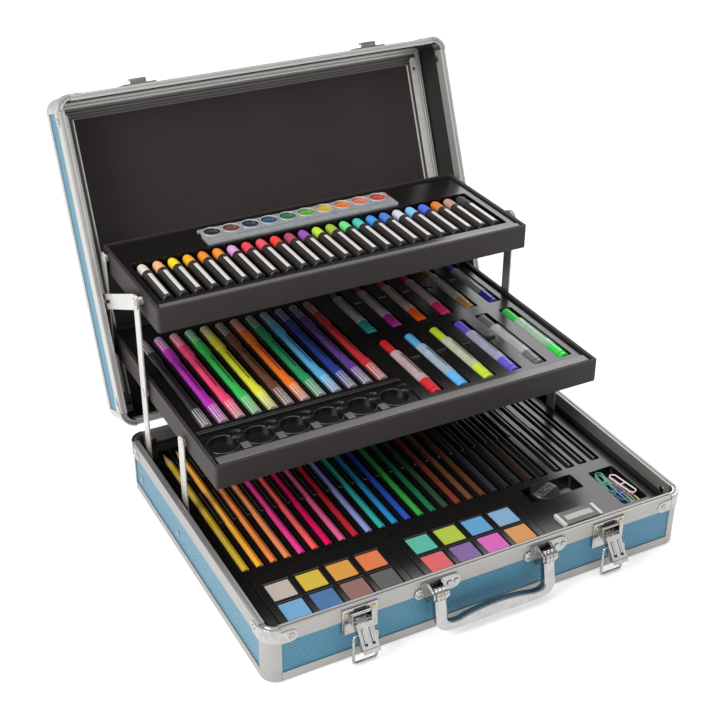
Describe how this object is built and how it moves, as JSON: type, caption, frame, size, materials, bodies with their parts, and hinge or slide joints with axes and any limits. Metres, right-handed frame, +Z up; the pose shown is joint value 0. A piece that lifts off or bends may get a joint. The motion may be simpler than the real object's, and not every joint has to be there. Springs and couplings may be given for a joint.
{
  "type": "art set case",
  "caption": "Metal-framed art set case standing open, blue boards with aluminium edges, two raised black trays of colours on flat link arms",
  "frame": {"origin": "centre of the flat underside of the base, where the case stands on a table", "axes": "X to the right of someone facing the latches, Y to the back where the lid hinges, Z up"},
  "size_m": [0.37, 0.4566, 0.315],
  "materials": {
    "blue_board": "satin",
    "rail_aluminium": "satin",
    "bright_chrome": "polished",
    "link_steel": "satin",
    "black_lining": "matte",
    "black_gloss": "glossy",
    "black_bracket": "matte",
    "tray_shell": "satin",
    "handle_shell": "satin",
    "pencil_wood": "painted",
    "pencil_black": "painted",
    "paint_cake": "matte",
    "sharpener_metal": "glossy",
    "eraser_rubber": "matte",
    "clip_wire": "glossy",
    "marker_plastic": "glossy",
    "pastel_paper": "matte",
    "clear_tray": "glossy"
  },
  "bodies": {
    "base": {"base_bottom_panel": "blue_board", "base_front_panel": "blue_board", "base_back_panel": "blue_board", "base_left_panel": "blue_board", "base_right_panel": "blue_board", "base_rails": "rail_aluminium", "base_edge_trims": "rail_aluminium", "base_corner_posts": "rail_aluminium", "base_corner_caps": "rail_aluminium", "base_inner_brackets": "black_bracket", "base_rivets": "bright_chrome", "base_insert": "black_gloss", "colour_pencils": "pencil_wood", "drawing_pencils": "pencil_black", "paint_palettes": "black_gloss", "paint_cakes": "paint_cake", "sharpener": "sharpener_metal", "eraser": "eraser_rubber", "paper_clips": "clip_wire", "latch_plates": "bright_chrome", "handle_brackets": "bright_chrome", "hinge_base_leaves": "link_steel"},
    "lid": {"lid_top_panel": "blue_board", "lid_front_panel": "blue_board", "lid_back_panel": "blue_board", "lid_left_panel": "blue_board", "lid_right_panel": "blue_board", "lid_rails": "rail_aluminium", "lid_edge_trims": "rail_aluminium", "lid_corner_posts": "rail_aluminium", "lid_corner_caps": "rail_aluminium", "lid_inner_brackets": "black_bracket", "lid_rivets": "bright_chrome", "lid_lining": "black_lining", "lid_channels": "rail_aluminium", "lid_stay_bars": "bright_chrome", "lid_catches": "bright_chrome", "hinge_lid_leaves": "link_steel"},
    "long_arm_left": {"long_arm_left": "link_steel"},
    "front_arm_left": {"front_arm_left": "link_steel"},
    "rear_arm_left": {"rear_arm_left": "link_steel"},
    "stay_left": {"stay_left": "link_steel"},
    "latch_lever_left": {"latch_lever_left": "bright_chrome"},
    "latch_bail_left": {"latch_bail_left": "bright_chrome"},
    "long_arm_right": {"long_arm_right": "link_steel"},
    "front_arm_right": {"front_arm_right": "link_steel"},
    "rear_arm_right": {"rear_arm_right": "link_steel"},
    "stay_right": {"stay_right": "link_steel"},
    "latch_lever_right": {"latch_lever_right": "bright_chrome"},
    "latch_bail_right": {"latch_bail_right": "bright_chrome"},
    "handle": {"handle_bail": "handle_shell"},
    "mid_tray": {"mid_tray_box": "tray_shell", "mid_tray_insert": "black_gloss", "long_markers": "marker_plastic", "short_markers": "marker_plastic"},
    "upper_tray": {"upper_tray_box": "tray_shell", "upper_tray_insert": "black_gloss", "oil_pastels": "pastel_paper", "watercolour_strip": "clear_tray"}
  },
  "joints": [
    {"name": "lid_hinge", "type": "hinge", "parent": "base", "child": "lid", "pos_m": [0, 0.146, 0.0475], "axis": [1, 0, 0], "range_deg": [0, 112]},
    {"name": "long_arm_left_pivot", "type": "hinge", "parent": "base", "child": "long_arm_left", "pos_m": [-0.1751, 0.115, 0.019], "axis": [1, 0, 0], "range_deg": [0, 69]},
    {"name": "front_arm_left_pivot", "type": "hinge", "parent": "base", "child": "front_arm_left", "pos_m": [-0.1751, 0.032, 0.019], "axis": [1, 0, 0], "range_deg": [0, 69]},
    {"name": "long_arm_right_pivot", "type": "hinge", "parent": "base", "child": "long_arm_right", "pos_m": [0.1751, 0.115, 0.019], "axis": [1, 0, 0], "range_deg": [0, 69]},
    {"name": "front_arm_right_pivot", "type": "hinge", "parent": "base", "child": "front_arm_right", "pos_m": [0.1751, 0.032, 0.019], "axis": [1, 0, 0], "range_deg": [0, 69]},
    {"name": "mid_tray_pivot", "type": "hinge", "parent": "long_arm_left", "child": "mid_tray", "pos_m": [-0.1751, 0.115, 0.1035], "axis": [1, 0, 0], "range_deg": [-69, 0]},
    {"name": "upper_tray_pivot", "type": "hinge", "parent": "long_arm_left", "child": "upper_tray", "pos_m": [-0.1751, 0.115, 0.188], "axis": [1, 0, 0], "range_deg": [-69, 0]},
    {"name": "rear_arm_left_pivot", "type": "hinge", "parent": "mid_tray", "child": "rear_arm_left", "pos_m": [-0.1733, 0.2, 0.1035], "axis": [1, 0, 0], "range_deg": [0, 69]},
    {"name": "stay_left_pivot", "type": "hinge", "parent": "long_arm_left", "child": "stay_left", "pos_m": [-0.1765, 0.115, 0.188], "axis": [1, 0, 0], "range_deg": [-54.6, 0]},
    {"name": "latch_lever_left_pivot", "type": "hinge", "parent": "base", "child": "latch_lever_left", "pos_m": [-0.11, -0.145, 0.0355], "axis": [1, 0, 0], "range_deg": [-90, 0]},
    {"name": "latch_bail_left_pivot", "type": "hinge", "parent": "latch_lever_left", "child": "latch_bail_left", "pos_m": [-0.11, -0.15042, 0.02831], "axis": [1, 0, 0], "range_deg": [-90, 0]},
    {"name": "rear_arm_right_pivot", "type": "hinge", "parent": "mid_tray", "child": "rear_arm_right", "pos_m": [0.1733, 0.2, 0.1035], "axis": [1, 0, 0], "range_deg": [0, 69]},
    {"name": "stay_right_pivot", "type": "hinge", "parent": "long_arm_right", "child": "stay_right", "pos_m": [0.1765, 0.115, 0.188], "axis": [1, 0, 0], "range_deg": [-54.6, 0]},
    {"name": "latch_lever_right_pivot", "type": "hinge", "parent": "base", "child": "latch_lever_right", "pos_m": [0.11, -0.145, 0.0355], "axis": [1, 0, 0], "range_deg": [-90, 0]},
    {"name": "latch_bail_right_pivot", "type": "hinge", "parent": "latch_lever_right", "child": "latch_bail_right", "pos_m": [0.11, -0.15042, 0.02831], "axis": [1, 0, 0], "range_deg": [-90, 0]},
    {"name": "handle_pivot", "type": "hinge", "parent": "base", "child": "handle", "pos_m": [0, -0.149, 0.0395], "axis": [1, 0, 0], "range_deg": [-100, 0]}
  ],
  "couplings": [
    {"joint": "long_arm_left_pivot", "follows": "lid_hinge", "ratio": 0.6158},
    {"joint": "front_arm_left_pivot", "follows": "lid_hinge", "ratio": 0.6158},
    {"joint": "long_arm_right_pivot", "follows": "lid_hinge", "ratio": 0.6158},
    {"joint": "front_arm_right_pivot", "follows": "lid_hinge", "ratio": 0.6158},
    {"joint": "mid_tray_pivot", "follows": "lid_hinge", "ratio": -0.6158},
    {"joint": "upper_tray_pivot", "follows": "lid_hinge", "ratio": -0.6158},
    {"joint": "rear_arm_left_pivot", "follows": "lid_hinge", "ratio": 0.6158},
    {"joint": "stay_left_pivot", "follows": "lid_hinge", "ratio": -0.4873},
    {"joint": "rear_arm_right_pivot", "follows": "lid_hinge", "ratio": 0.6158},
    {"joint": "stay_right_pivot", "follows": "lid_hinge", "ratio": -0.4873}
  ]
}
